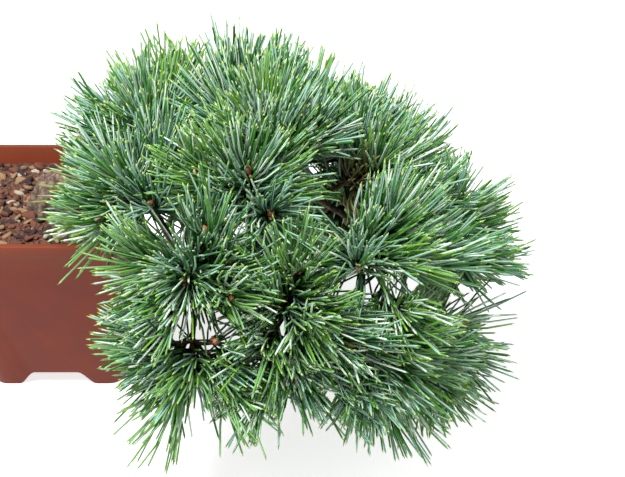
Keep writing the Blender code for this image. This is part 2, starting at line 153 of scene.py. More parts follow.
for quarter in range(4):
    bpy.ops.object.select_all(action="DESELECT")
    bpy.ops.mesh.primitive_grid_add(
        x_subdivisions=40, y_subdivisions=1, size=1, location=(0, -POT_FOOT / 2, -ARCH_CUT_BELOW)
    )
    bpy.context.object.scale = (2 * ARCH_FOOT_HALF, ARCH_CUT_DEPTH, 1)
    arch = new_piece("arch")
    bpy.ops.object.mode_set(mode="EDIT")
    bpy.ops.mesh.extrude_region_move(TRANSFORM_OT_translate={"value": (0, 0, ARCH_CUT_BELOW)})
    bpy.ops.object.mode_set(mode="OBJECT")
    for corner in arch.data.vertices:
        if corner.co.z > -MM:
            slope = (ARCH_FOOT_HALF - abs(corner.co.x)) / (ARCH_FOOT_HALF - ARCH_TOP_HALF)
            corner.co.z = ARCH_CUT_ABOVE + ARCH_HEIGHT * (1 - math.cos(math.pi * min(slope, 1))) / 2
    bpy.ops.object.mode_set(mode="EDIT")
    bpy.ops.mesh.select_all(action="SELECT")
    bpy.ops.mesh.normals_make_consistent(inside=False)
    bpy.ops.object.mode_set(mode="OBJECT")
    arch.rotation_euler = (0, 0, quarter * math.pi / 2)
    bpy.ops.object.transform_apply(location=True, rotation=True, scale=True)
    cut_or_join(pot, arch, "DIFFERENCE")
    bpy.ops.object.select_all(action="DESELECT")
    x = DRAIN_OFFSET * (1 if quarter in (0, 3) else -1)
    y = DRAIN_OFFSET * (1 if quarter < 2 else -1)
    bpy.ops.mesh.primitive_cylinder_add(
        vertices=28, radius=DRAIN_RADIUS, depth=DRAIN_CUT_HEIGHT, location=(x, y, FLOOR_TOP)
    )
    cut_or_join(pot, new_piece("drain"), "DIFFERENCE")

softened = pot.modifiers.new("moulded edges", "BEVEL")
softened.width = EDGE_ROUNDING
softened.segments = 2
softened.limit_method = "ANGLE"
softened.angle_limit = math.radians(38)
bpy.ops.object.select_all(action="DESELECT")
pot.select_set(True)
bpy.context.view_layer.objects.active = pot
bpy.ops.object.modifier_apply(modifier=softened.name)
bpy.ops.object.shade_smooth_by_angle(angle=math.radians(32))


def srgb(red, green, blue):
    """A colour measured from 0 to 255 as the shader takes it."""
    shares = [value / 255 for value in (red, green, blue)]
    linear = [s / 12.92 if s <= 0.04045 else ((s + 0.055) / 1.055) ** 2.4 for s in shares]
    return (*linear, 1.0)


def finish_of(name, roughness):
    """A new material, its shader and a place to add nodes and links."""
    made = bpy.data.materials.new(name)
    made.use_nodes = True
    tree = made.node_tree
    shader = tree.nodes["Principled BSDF"]
    shader.inputs["Roughness"].default_value = roughness
    shader.inputs["Specular IOR Level"].default_value = 0.3
    return made, shader, tree.nodes, tree.links


plastic, shader, nodes, links = finish_of("brown pot plastic", 0.42)
shader.inputs["Specular IOR Level"].default_value = 0.14
place = nodes.new("ShaderNodeTexCoord")
mottle = nodes.new("ShaderNodeTexNoise")
mottle.inputs["Scale"].default_value = 34
mottle.inputs["Detail"].default_value = 5
tones = nodes.new("ShaderNodeValToRGB")
tones.color_ramp.elements[0].position = 0.3
tones.color_ramp.elements[0].color = srgb(92, 29, 10)
tones.color_ramp.elements[1].position = 0.72
tones.color_ramp.elements[1].color = srgb(105, 38, 17)
height = nodes.new("ShaderNodeSeparateXYZ")
dusty = nodes.new("ShaderNodeMapRange")
dusty.inputs["From Min"].default_value = POT_HEIGHT - 27 * MM
dusty.inputs["From Max"].default_value = POT_HEIGHT + MM
dusty.inputs["To Max"].default_value = 0.35
film = nodes.new("ShaderNodeMix")
film.data_type = "RGBA"
film.inputs["B"].default_value = srgb(124, 74, 52)
grain = nodes.new("ShaderNodeTexNoise")
grain.inputs["Scale"].default_value = 900
grain.inputs["Detail"].default_value = 2
relief = nodes.new("ShaderNodeBump")
relief.inputs["Strength"].default_value = 0.12
relief.inputs["Distance"].default_value = 0.4 * MM
worn = nodes.new("ShaderNodeMapRange")
worn.inputs["To Min"].default_value = 0.44
worn.inputs["To Max"].default_value = 0.62
links.new(place.outputs["Object"], mottle.inputs["Vector"])
links.new(place.outputs["Object"], grain.inputs["Vector"])
links.new(place.outputs["Object"], height.inputs["Vector"])
links.new(height.outputs["Z"], dusty.inputs["Value"])
links.new(mottle.outputs["Fac"], tones.inputs["Fac"])
links.new(tones.outputs["Color"], film.inputs["A"])
links.new(dusty.outputs["Result"], film.inputs["Factor"])
links.new(film.outputs["Result"], shader.inputs["Base Color"])
links.new(mottle.outputs["Fac"], worn.inputs["Value"])
links.new(worn.outputs["Result"], shader.inputs["Roughness"])
links.new(grain.outputs["Fac"], relief.inputs["Height"])
links.new(relief.outputs["Normal"], shader.inputs["Normal"])
pot.data.materials.append(plastic)
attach(pot, "root")
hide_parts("pot")


# The potting mix. Coarse bark-based mix fills the pot to just under its lip; the solid below is the
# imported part, and a crumbly crust lies on it, raised a little towards the trunk.
SOIL_TOP = 130 * MM
CRUST_SUNK = 2 * MM
CRUST_THICKNESS = 3.5 * MM
CRUST_CLEARANCE = 0.5 * MM
MOUND_HEIGHT = 2 * MM
MOUND_RADIUS = 45 * MM
bpy.ops.object.select_all(action="DESELECT")
bpy.ops.mesh.primitive_grid_add(
    x_subdivisions=70, y_subdivisions=70, size=1, location=(0, 0, SOIL_TOP - CRUST_SUNK)
)
crust_half = pot_width(SOIL_TOP) / 2 - POT_WALL - CRUST_CLEARANCE
bpy.context.object.scale = (2 * crust_half, 2 * crust_half, 1)
crust = new_piece("soil_crust")
bpy.ops.object.mode_set(mode="EDIT")
bpy.ops.mesh.extrude_region_move(TRANSFORM_OT_translate={"value": (0, 0, CRUST_THICKNESS)})
bpy.ops.mesh.select_all(action="SELECT")
bpy.ops.mesh.normals_make_consistent(inside=False)
bpy.ops.object.mode_set(mode="OBJECT")
upper = crust.vertex_groups.new(name="upper")
upper.add([v.index for v in crust.data.vertices if v.co.z > SOIL_TOP], 1.0, "REPLACE")
for name, size, strength in (("clods", 9 * MM, 3.2 * MM), ("crumbs", 2.6 * MM, 1.4 * MM)):
    pattern = bpy.data.textures.new(name, "CLOUDS")
    pattern.noise_scale = size
    bumps = crust.modifiers.new(name, "DISPLACE")
    bumps.texture = pattern
    bumps.texture_coords = "LOCAL"
    bumps.direction = "Z"
    bumps.strength = strength
    bumps.mid_level = 0.5
    bumps.vertex_group = "upper"
    bpy.ops.object.modifier_apply(modifier=bumps.name)
inner_corner = POT_CORNER - POT_WALL
rounding_middle = Vector((1, 1)) * (crust_half - inner_corner)
for corner in crust.data.vertices:
    reach = Vector((abs(corner.co.x), abs(corner.co.y))) - rounding_middle
    if min(reach) > 0 and reach.length > inner_corner:
        pulled = reach * (inner_corner / reach.length) + rounding_middle
        corner.co.x = math.copysign(pulled.x, corner.co.x)
        corner.co.y = math.copysign(pulled.y, corner.co.y)
    if corner.co.z > SOIL_TOP - MM:
        corner.co.z += MOUND_HEIGHT * max(0.0, 1 - corner.co.xy.length / MOUND_RADIUS)
bpy.ops.object.shade_smooth()

earth, shader, nodes, links = finish_of("moist potting mix", 0.95)
place = nodes.new("ShaderNodeTexCoord")
crumbs = nodes.new("ShaderNodeTexNoise")
crumbs.inputs["Scale"].default_value = 420
crumbs.inputs["Detail"].default_value = 6
tones = nodes.new("ShaderNodeValToRGB")
tones.color_ramp.elements[0].position = 0.36
tones.color_ramp.elements[0].color = srgb(38, 24, 22)
tones.color_ramp.elements[1].position = 0.7
tones.color_ramp.elements[1].color = srgb(104, 72, 54)
relief = nodes.new("ShaderNodeBump")
relief.inputs["Strength"].default_value = 0.7
relief.inputs["Distance"].default_value = 1.2 * MM
links.new(place.outputs["Object"], crumbs.inputs["Vector"])
links.new(crumbs.outputs["Fac"], tones.inputs["Fac"])
links.new(tones.outputs["Color"], shader.inputs["Base Color"])
links.new(crumbs.outputs["Fac"], relief.inputs["Height"])
links.new(relief.outputs["Normal"], shader.inputs["Normal"])
crust.data.materials.append(earth)
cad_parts["soil"].data.materials.clear()
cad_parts["soil"].data.materials.append(earth)
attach(crust, "root")


# Bark chips. Flakes of composted pine bark and a few pale pumice lumps lie loose on the mix.
# One flake is broken from a block, and the rest are turned and scaled copies, joined in one piece.
CHIPS = 520
CHIP_MARGIN = 5 * MM
TRUNK_ROOM = 17 * MM
MOVED_TO = 19 * MM


def mesh_of(name, points, triangles, shades):
    """A mesh from arrays of points, three-cornered faces and each face's material number."""
    mesh = bpy.data.meshes.new(name)
    count = len(triangles)
    mesh.vertices.add(len(points))
    mesh.vertices.foreach_set("co", np.ascontiguousarray(points, np.float32).ravel())
    mesh.loops.add(3 * count)
    mesh.loops.foreach_set("vertex_index", np.ascontiguousarray(triangles, np.int32).ravel())
    mesh.polygons.add(count)
    mesh.polygons.foreach_set("loop_start", np.arange(0, 3 * count, 3, dtype=np.int32))
    mesh.polygons.foreach_set("material_index", np.ascontiguousarray(shades, np.int32))
    mesh.update(calc_edges=True)
    mesh.validate()
    return mesh


def joined_copies(name, pattern, frames, shades):
    """Copies of one modelled piece, one for each 4x4 frame, joined in a new object."""
    mesh = pattern.data
    mesh.calc_loop_triangles()
    points = np.array([corner.co for corner in mesh.vertices])
    triangles = np.array([tuple(t.vertices) for t in mesh.loop_triangles])
    turned = np.einsum("nij,pj->npi", frames[:, :3, :3], points) + frames[:, None, :3, 3]
    faces = triangles[None] + np.arange(len(frames))[:, None, None] * len(points)
    face_shades = np.repeat(shades, len(triangles))
    made = mesh_of(name, turned.reshape(-1, 3), faces.reshape(-1, 3), face_shades)
    piece = bpy.data.objects.new(name, made)
    bpy.context.scene.collection.objects.link(piece)
    bpy.data.objects.remove(pattern, do_unlink=True)
    return piece


def unit(ways):
    """The same directions, each of length one."""
    return ways / np.linalg.norm(ways, axis=-1, keepdims=True)


def square_to(ways):
    """For each way, a unit way square to it."""
    steep = np.abs(ways[:, 2:]) >= 0.9
    return unit(np.cross(ways, np.where(steep, [[1.0, 0.0, 0.0]], [[0.0, 0.0, 1.0]])))


def turn_frames(ways, twists, sizes, places):
    """Frames whose z axis points along each way, turned about it and scaled on their own axes."""
    ways = unit(ways)
    side = square_to(ways)
    other = np.cross(ways, side)
    cos, sin = np.cos(twists)[:, None], np.sin(twists)[:, None]
    made = np.zeros((len(ways), 4, 4))
    made[:, :3, 0] = (side * cos + other * sin) * sizes[:, :1]
    made[:, :3, 1] = (other * cos - side * sin) * sizes[:, 1:2]
    made[:, :3, 2] = ways * sizes[:, 2:3]
    made[:, :3, 3] = places
    made[:, 3, 3] = 1
    return made


draw = np.random.default_rng(7)
bpy.ops.object.select_all(action="DESELECT")
bpy.ops.mesh.primitive_cube_add(size=1)
flake = new_piece("flake")
bpy.ops.object.mode_set(mode="EDIT")
bpy.ops.mesh.select_all(action="SELECT")
bpy.ops.mesh.bevel(offset=0.16, segments=1, affect="EDGES")
for cut_at, cut_way in (((0.3, 0.2, 0), (0.9, 0.5, 0.3)), ((-0.3, 0.25, 0.1), (-0.8, 0.5, 0.2))):
    bpy.ops.mesh.select_all(action="SELECT")
    bpy.ops.mesh.bisect(plane_co=cut_at, plane_no=cut_way, use_fill=True, clear_outer=True)
bpy.ops.object.mode_set(mode="OBJECT")
room = crust_half - CHIP_MARGIN
spots = draw.uniform(-room, room, (CHIPS, 2))
from_trunk = np.linalg.norm(spots, axis=1)
crowded = from_trunk < TRUNK_ROOM
spots[crowded] *= (MOVED_TO / from_trunk[crowded])[:, None]
lift = SOIL_TOP + draw.uniform(1.2, 3.6, CHIPS) * MM
lift += MOUND_HEIGHT * np.clip(1 - from_trunk / MOUND_RADIUS, 0, 1)
ways = draw.normal(0, 0.35, (CHIPS, 3)) + [0, 0, 1]
length = draw.uniform(4, 11, CHIPS)
across = length * draw.uniform(0.4, 0.8, CHIPS)
sizes = np.stack([length, across, draw.uniform(1.4, 3.4, CHIPS)], 1) * MM
frames = turn_frames(ways, draw.uniform(0, 6.28, CHIPS), sizes, np.column_stack([spots, lift]))
chips = joined_copies("bark_chips", flake, frames, draw.choice(4, CHIPS, p=(0.34, 0.4, 0.18, 0.08)))
for name, colour in (
    ("red brown bark", (92, 56, 42)),
    ("dark bark", (50, 34, 34)),
    ("tan bark", (124, 98, 72)),
    ("pale pumice", (146, 136, 120)),
):
    tint, shader, nodes, links = finish_of(name, 0.9)
    shader.inputs["Base Color"].default_value = srgb(*colour)
    chips.data.materials.append(tint)
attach(chips, "root")


# Trunk and boughs. Living pine wood: a short leaning trunk with a flared foot, and a bough to each
# mass of needles, all in grey-brown bark that is cracked into small plates on the older wood.
# Each limb is a tapering tube; they are melted into one skin, and the bark's relief is raised on it.
TRUNK_CURVE = [Vector(p) * MM for p in ((0, 0, 130.3), (14, -5, 198), (108, -52, 150), (160, -58, 204))]
TRUNK_FOOT_RADIUS = 12.5 * MM
TRUNK_TIP_RADIUS = 3.6 * MM
CROWN_CENTRE = Vector((165, -60, 110)) * MM
CROWN_REACH = Vector((150, 135, 139)) * MM

# Each mass: its heading round the crown and lift above its waist, in degrees, its share of the
# crown's reach, the turn of its outer shoots in degrees and their number, and the station of its
# bough, which is the share of the trunk's length at which it leaves
MASSES = {
    "low_left": (-106, 8, 1.00, -30, 4, 0.54),
    "low_front": (-79, 6, 0.92, 90, 3, 0.68),
    "low_right": (-50, -2, 0.97, 0, 4, 0.76),
    "far_right": (-22, -12, 1.00, 10, 4, 0.88),
    "right_back_low": (31, -4, 1.00, 45, 4, 0.72),
    "back_low_right": (60, -3, 1.00, 40, 4, 0.60),
    "back_low": (88, -3, 1.00, 10, 4, 0.52),
    "back_left_low": (115, 3, 1.00, 50, 4, 0.40),
    "left_back": (130, 28, 1.03, 20, 4, 0.16),
    "left_front": (-110, 34, 1.00, -12, 4, 0.62),
    "centre_front": (-78, 23, 0.98, 90, 3, 0.90),
    "right_front": (-44, 31, 1.00, -20, 4, 0.94),
    "right_end": (6, 13, 1.03, 10, 4, 0.80),
    "right_back_mid": (46, 23, 0.95, 30, 4, 0.66),
    "back_right_mid": (76, 27, 1.00, 0, 4, 0.44),
    "back_mid": (105, 30, 1.00, 60, 4, 0.34),
    "upper_left": (-152, 50, 1.00, 5, 4, 0.38),
    "back_left": (150, 53, 1.05, 45, 4, 0.48),
    "back_top": (106, 58, 1.01, 90, 4, 0.56),
    "back_right": (45, 52, 0.87, 40, 4, 0.72),
    "right_upper": (8, 47, 0.90, 50, 4, 0.92),
    "top_front": (-94, 64, 1.00, 60, 3, 0.84),
    "tip": (-60, 86, 1.00, 45, 4, 1.00),
}
BOUGH_ROOT_RADIUS = 3.0 * MM
BOUGH_TIP_RADIUS = 1.8 * MM
BOUGH_STEPS = 16
COLLAR_CLEAR = 2.5 * MM
COLLAR_SPREAD = 1.35
GAP = 0.3 * MM
STEEPEST_SINE = 0.35
BOUGH_LIFT = 0.45
BOUGH_EASE = 0.35
MASS_DEPTH = 46 * MM
STEM_SHARE = 0.6
INWARD_PULL = 0.75
STRAIGHT_PULL = 0.65
STEM_TURN = 0.6
CELL_DEPTH = 0.35
HUB_SHARE = 0.3

# Each root flare runs down and out in four steps: how far out from the trunk's axis, an offset
# from the trunk's foot, and the flare's radius there, all in mm
FLARES = 6
FLARE_STEPS = (
    (3, (3, -1, 26), 5),
    (8, (1, 0, 12), 5.4),
    (12.5, (0, 0, 4), 4.6),
    (15.5, (0, 0, -4), 4.0),
)


def bezier(points, share):
    """The point at a share of a curve with four control points."""
    a, b, c, d = points
    rest = 1 - share
    return a * rest**3 + b * 3 * share * rest**2 + c * 3 * share**2 * rest + d * share**3


def bezier_way(points, share):
    """The curve's unit direction there."""
    a, b, c, d = points
    rest = 1 - share
    return ((b - a) * rest**2 + (c - b) * 2 * share * rest + (d - c) * share**2).normalized()


def trunk_radius(share):
    """The trunk's radius at a share of its length from the soil."""
    return TRUNK_FOOT_RADIUS + (TRUNK_TIP_RADIUS - TRUNK_FOOT_RADIUS) * share**0.85


class Mass:
    """Where one mass of needles stands, and the bough that carries it."""

    def __init__(self, heading, lift, share, turn, shoots, station):
        heading, lift = math.radians(heading), math.radians(lift)
        level = math.cos(lift)
        ray = Vector((level * math.cos(heading), level * math.sin(heading), math.sin(lift)))
        self.middle = CROWN_CENTRE + share * Vector([r * u for r, u in zip(CROWN_REACH, ray)])
        self.out = Vector([u / r for r, u in zip(CROWN_REACH, ray)]).normalized()
        self.turn = math.radians(turn)
        self.shoots = shoots
        self.east = Vector((0, 0, 1)).cross(self.out).normalized()
        self.north = self.out.cross(self.east)
        self.leave = bezier(TRUNK_CURVE, station)
        inward = self.leave - self.middle
        back = (inward.normalized() * INWARD_PULL - self.out * STRAIGHT_PULL).normalized()
        self.base = self.middle + back * min(MASS_DEPTH, STEM_SHARE * inward.length)
        self.stem_way = (self.out * STEM_TURN - back).normalized()
        self.cell_point = self.middle + back * MASS_DEPTH * CELL_DEPTH
        self.bough = []
        if station < 1:
            self.lay_bough(station)
        else:
            self.base = TRUNK_CURVE[3]
            self.stem_way = bezier_way(TRUNK_CURVE, 1)
        self.hub = self.base.lerp(self.middle, HUB_SHARE)

    def lay_bough(self, station):
        """The bough arches from the trunk to the foot of the mass's stem."""
        along = bezier_way(TRUNK_CURVE, station)
        way = ((self.base - self.leave).normalized() + Vector((0, 0, BOUGH_LIFT))).normalized()
        cosine = abs(way.dot(along))
        sine = max(math.sqrt(1 - cosine * cosine), STEEPEST_SINE)
        reach = (trunk_radius(station) + BOUGH_ROOT_RADIUS * cosine + COLLAR_CLEAR) / sine
        start = self.leave + way * (reach + GAP)
        ease = (self.base - start).length * BOUGH_EASE
        curve = (start, start + way * ease, self.base - self.stem_way * ease, self.base)
        self.bough = [(self.leave, BOUGH_ROOT_RADIUS * COLLAR_SPREAD)]
        for i in range(BOUGH_STEPS + 1):
            radius = BOUGH_ROOT_RADIUS + (BOUGH_TIP_RADIUS - BOUGH_ROOT_RADIUS) * i / BOUGH_STEPS
            self.bough.append((bezier(curve, i / BOUGH_STEPS), radius))

    def aside(self, angle):
        """A way square to the mass's own, turned about it from east towards north."""
        return self.east * math.cos(angle) + self.north * math.sin(angle)


def tubes(name, lines, resolution):
    """Round tubes along lines of (point, radius), as one mesh with closed ends."""
    line_data = bpy.data.curves.new(name, "CURVE")
    line_data.dimensions = "3D"
    line_data.bevel_depth = 1
    line_data.bevel_resolution = resolution
    line_data.use_fill_caps = True
    for line in lines:
        spline = line_data.splines.new("POLY")
        spline.points.add(len(line) - 1)
        for knot, (point, radius) in zip(spline.points, line):
            knot.co = (*point, 1)
            knot.radius = radius
    piece = bpy.data.objects.new(name, line_data)
    bpy.context.scene.collection.objects.link(piece)
    bpy.ops.object.select_all(action="DESELECT")
    piece.select_set(True)
    bpy.context.view_layer.objects.active = piece
    bpy.ops.object.convert(target="MESH")
    return bpy.context.object


masses = {name: Mass(*sizes) for name, sizes in MASSES.items()}
trunk_line = []
for i in range(41):
    share = i / 40
    swell = 1 + 0.05 * math.sin(9 * share) + 0.04 * math.sin(23 * share + 1)
    trunk_line.append((bezier(TRUNK_CURVE, share), trunk_radius(share) * swell))
trunk_line.insert(0, (TRUNK_CURVE[0] - Vector((0, 0, 5 * MM)), TRUNK_FOOT_RADIUS * 1.1))
limb_lines = [trunk_line]
for k in range(FLARES):
    angle = 2 * math.pi * (k + 0.3) / FLARES
    aside = Vector((math.cos(angle), math.sin(angle), 0))
    flare_line = []
    for out, offset, radius in FLARE_STEPS:
        flare_line.append((TRUNK_CURVE[0] + aside * out * MM + Vector(offset) * MM, radius * MM))
    limb_lines.append(flare_line)
limb_lines += [mass.bough for mass in masses.values() if mass.bough]
limbs = tubes("trunk_and_boughs", limb_lines, 3)
limbs.data.remesh_voxel_size = 0.85 * MM
bpy.ops.object.voxel_remesh()
bpy.ops.object.mode_set(mode="EDIT")
bpy.ops.mesh.select_all(action="SELECT")
bpy.ops.mesh.bisect(plane_co=TRUNK_CURVE[0], plane_no=(0, 0, -1), use_fill=True, clear_outer=True)
bpy.ops.object.mode_set(mode="OBJECT")
thick = limbs.vertex_groups.new(name="old wood")
axis = np.array([p for p, r in trunk_line])
points = np.array([corner.co for corner in limbs.data.vertices])
away = np.min(np.linalg.norm(points[:, None] - axis[None], axis=2), axis=1)
for i, distance in enumerate(away):
    thick.add([i], float(np.clip(1.35 - distance / (16 * MM), 0.22, 1)), "REPLACE")
for name, kind, size, strength, middle in (
    ("bark plates", "VORONOI", 5.5 * MM, -1.5 * MM, 0.3),
    ("bark flakes", "CLOUDS", 1.8 * MM, 0.9 * MM, 0.5),
):
    pattern = bpy.data.textures.new(name, kind)
    pattern.noise_scale = size
    bumps = limbs.modifiers.new(name, "DISPLACE")
    bumps.texture = pattern
    bumps.texture_coords = "LOCAL"
    bumps.strength = strength
    bumps.mid_level = middle
    bumps.vertex_group = "old wood"
    bpy.ops.object.modifier_apply(modifier=bumps.name)
bpy.ops.object.shade_smooth()

bark, shader, nodes, links = finish_of("pine bark", 0.88)
place = nodes.new("ShaderNodeTexCoord")
plates = nodes.new("ShaderNodeTexVoronoi")
plates.feature = "DISTANCE_TO_EDGE"
plates.inputs["Scale"].default_value = 190
blotches = nodes.new("ShaderNodeTexNoise")
blotches.inputs["Scale"].default_value = 240
blotches.inputs["Detail"].default_value = 6
tones = nodes.new("ShaderNodeValToRGB")
tones.color_ramp.elements[0].position = 0.3
tones.color_ramp.elements[0].color = srgb(70, 54, 46)
tones.color_ramp.elements[1].position = 0.72
tones.color_ramp.elements[1].color = srgb(136, 116, 100)
# Painted shade in the cracks: the bark's colour is darkened along the edges of its plates, on every
# limb.
painted_crack_shade = nodes.new("ShaderNodeMapRange")
painted_crack_shade.inputs["From Max"].default_value = 0.12
painted_crack_shade.inputs["To Min"].default_value = 0.45
shade = nodes.new("ShaderNodeMix")
shade.data_type = "RGBA"
shade.blend_type = "MULTIPLY"
shade.inputs["Factor"].default_value = 1
relief = nodes.new("ShaderNodeBump")
relief.inputs["Strength"].default_value = 0.5
relief.inputs["Distance"].default_value = 0.6 * MM
links.new(place.outputs["Object"], plates.inputs["Vector"])
links.new(place.outputs["Object"], blotches.inputs["Vector"])
links.new(blotches.outputs["Fac"], tones.inputs["Fac"])
links.new(plates.outputs["Distance"], painted_crack_shade.inputs["Value"])
links.new(tones.outputs["Color"], shade.inputs["A"])
links.new(painted_crack_shade.outputs["Result"], shade.inputs["B"])
links.new(shade.outputs["Result"], shader.inputs["Base Color"])
links.new(blotches.outputs["Fac"], relief.inputs["Height"])
links.new(relief.outputs["Normal"], shader.inputs["Normal"])
limbs.data.materials.append(bark)
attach(limbs, "root")
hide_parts("trunk", *["bough_" + name for name, mass in masses.items() if mass.bough])


# Twigs. Each bough ends in a stem that branches by one rule: a ring of outer shoots and a leader at
# the crown's surface, finer side shoots between them, and short shoots low on the stem.
# They are young wood, thin and smooth, in yellowish brown bark.
RING_RADIUS = 31 * MM
CELL_MARGIN = 0.25 * MM
SIDE_SHOOTS = 2
INNER_SHOOTS = 2
STEM_RADIUS = 1.8 * MM
HUB_RADIUS = 1.5 * MM
TWIG_RADIUS = 1.45 * MM
TWIG_TAPER = 0.35 * MM
TWIG_STEPS = 8
FINE_SHARE = 0.8


def share_in_cell(mass, start, end, margin):
    """The share of a stretch that stays on its own mass's side of all the others."""
    share = 1.0
    for other in masses.values():
        if other is not mass:
            wall_way = (other.cell_point - mass.cell_point).normalized()
            room = ((other.cell_point + mass.cell_point) / 2 - start).dot(wall_way) - CELL_MARGIN
            going = (end - start).dot(wall_way)
            if room < 0:
                return 0.0
            if going > room - margin:
                share = min(share, (room - margin) / going)
    return share


# The camera's place and the point that it looks at, in mm
VIEW_TILT = math.radians(35)
VIEW_MIDDLE = Vector((200, -69, 151))
EYE = VIEW_MIDDLE + Vector((0, -math.cos(VIEW_TILT), math.sin(VIEW_TILT))) * 800

# The crown has gaps and a notched edge. Each line of sight that is left free of most needles: its
# offset right of and above the middle of the view, and its radius, in mm
OPENINGS = [
    (-109, 12, 6.5), (-94, 9, 3.5), (-51, 5, 4), (2, 50, 5.5), (14, 53, 4.5),
    (-89, -68, 8), (-75, -75, 8), (-63, -64, 6), (-40, -89, 4), (-21, -61, 5.5),
    (26, -31, 4.5), (42, -33, 5), (58, -35, 5), (70, -31, 5), (100, -47, 6), (12, -110, 4),
    (116, -44.5, 5), (128, -47, 6), (140, -47, 7), (149, -43, 7),
    (116, 49, 6), (126, 53, 7.5), (122, 41, 4), (135, 48, 6), (116, 37, 4),
    (131, -63, 9), (128, -36, 5), (105, -36, 4), (142, -31, 5),
    (-132, -133, 6), (-79, -131, 9), (-63, -135, 7), (-31, -138, 5), (-14, -124, 6), (86, -147, 6),
]


def on_sight(points, lines):
    """Whether points, in metres, lie within the radius of any of the lines of sight."""
    found = np.zeros(points.shape[:-1], bool)
    eye = np.array(EYE) * MM
    for right, up, radius in lines:
        target = np.array((
            VIEW_MIDDLE.x + right,
            VIEW_MIDDLE.y + up * math.sin(VIEW_TILT),
            VIEW_MIDDLE.z + up * math.cos(VIEW_TILT),
        )) * MM
        sight = unit(target - eye)
        offset = points - eye
        away = offset - np.sum(offset * sight, axis=-1, keepdims=True) * sight
        found |= np.linalg.norm(away, axis=-1) < radius * MM
    return found


class Shoot:
    """A twig from a point on the stem to its tip, and how it bears its needles."""

    def __init__(self, mass, start, tip, way, kind):
        span = (tip - start).length
        self.mass = mass
        self.kind = kind
        self.way = way.normalized()
        self.curve = (start, start + mass.stem_way * span * 0.3, tip - self.way * span * 0.5, tip)
        self.span = span


def shoots_of(mass, number):
    """The outer ring and leader by the source's rule, then the finer shoots inside them."""
    chance = random.Random(100 + number)
    made = []
    for k in range(mass.shoots):
        angle = mass.turn + 2 * math.pi * k / mass.shoots
        aside = mass.aside(angle)
        reach = RING_RADIUS * chance.uniform(0.9, 1.1)
        reach *= share_in_cell(mass, mass.middle, mass.middle + aside * reach, 4 * MM)
        tip = mass.middle + aside * reach - mass.out * reach * reach / (2 * CROWN_REACH.z)
        way = mass.out + aside * 0.6 + Vector((0, 0, 0.2))
        share = 0.45 + 0.5 * (k + 1) / (mass.shoots + 1)
        made.append(Shoot(mass, mass.base.lerp(mass.hub, share), tip, way, "outer"))
    made.append(Shoot(mass, mass.base.lerp(mass.hub, 0.95), mass.middle, mass.out, "outer"))
    for k in range(SIDE_SHOOTS):
        angle = mass.turn + 2 * math.pi * (2 * k + 0.5 + chance.uniform(-0.12, 0.12)) / mass.shoots
        aside = mass.aside(angle)
        reach = RING_RADIUS * chance.uniform(0.5, 0.8)
        reach *= share_in_cell(mass, mass.middle, mass.middle + aside * reach, 2 * MM)
        tip = mass.middle + aside * reach - mass.out * chance.uniform(9, 15) * MM
        way = mass.out * 0.75 + aside * 0.8 + Vector((0, 0, 0.25))
        made.append(Shoot(mass, mass.base.lerp(mass.hub, 0.7), tip, way, "side"))
    for k in range(INNER_SHOOTS):
        angle = mass.turn + 2 * math.pi * (k + chance.random() * 0.5) / INNER_SHOOTS
        aside = mass.aside(angle)
        reach = chance.uniform(17, 24) * MM
        reach *= share_in_cell(mass, mass.hub, mass.hub + aside * reach, 2 * MM)
        tip = mass.hub + aside * reach + mass.out * chance.uniform(4, 12) * MM
        way = mass.out * 0.5 + aside + Vector((0, 0, 0.35))
        made.append(Shoot(mass, mass.base.lerp(mass.hub, 0.3), tip, way, "inner"))
    return made


shoots = []
for number, mass in enumerate(masses.values()):
    shoots += shoots_of(mass, number)
tips_open = on_sight(np.array([shoot.curve[3] for shoot in shoots]), OPENINGS)
shoots = [shoot for shoot, is_open in zip(shoots, tips_open) if shoot.kind == "outer" or not is_open]
twig_lines = []
for mass in masses.values():
    sunk = mass.base - mass.stem_way * 2 * MM
    twig_lines.append([(sunk, 1.9 * MM), (mass.base, STEM_RADIUS), (mass.hub, HUB_RADIUS)])
for shoot in shoots:
    thin = 1.0 if shoot.kind == "outer" else FINE_SHARE
    line = []
    for i in range(TWIG_STEPS + 1):
        share = i / TWIG_STEPS
        line.append((bezier(shoot.curve, share), (TWIG_RADIUS - TWIG_TAPER * share) * thin))
    line.append((shoot.curve[3] + shoot.way * 1.2 * MM, 0.6 * thin * MM))
    twig_lines.append(line)
twigs = tubes("twigs", twig_lines, 1)
bpy.ops.object.shade_smooth()

young_bark, shader, nodes, links = finish_of("young bark", 0.8)
place = nodes.new("ShaderNodeTexCoord")
blotches = nodes.new("ShaderNodeTexNoise")
blotches.inputs["Scale"].default_value = 260
blotches.inputs["Detail"].default_value = 4
tones = nodes.new("ShaderNodeValToRGB")
tones.color_ramp.elements[0].position = 0.34
tones.color_ramp.elements[0].color = srgb(70, 50, 36)
tones.color_ramp.elements[1].position = 0.7
tones.color_ramp.elements[1].color = srgb(134, 104, 76)
links.new(place.outputs["Object"], blotches.inputs["Vector"])
links.new(blotches.outputs["Fac"], tones.inputs["Fac"])
links.new(tones.outputs["Color"], shader.inputs["Base Color"])
twigs.data.materials.append(young_bark)
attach(twigs, "root")
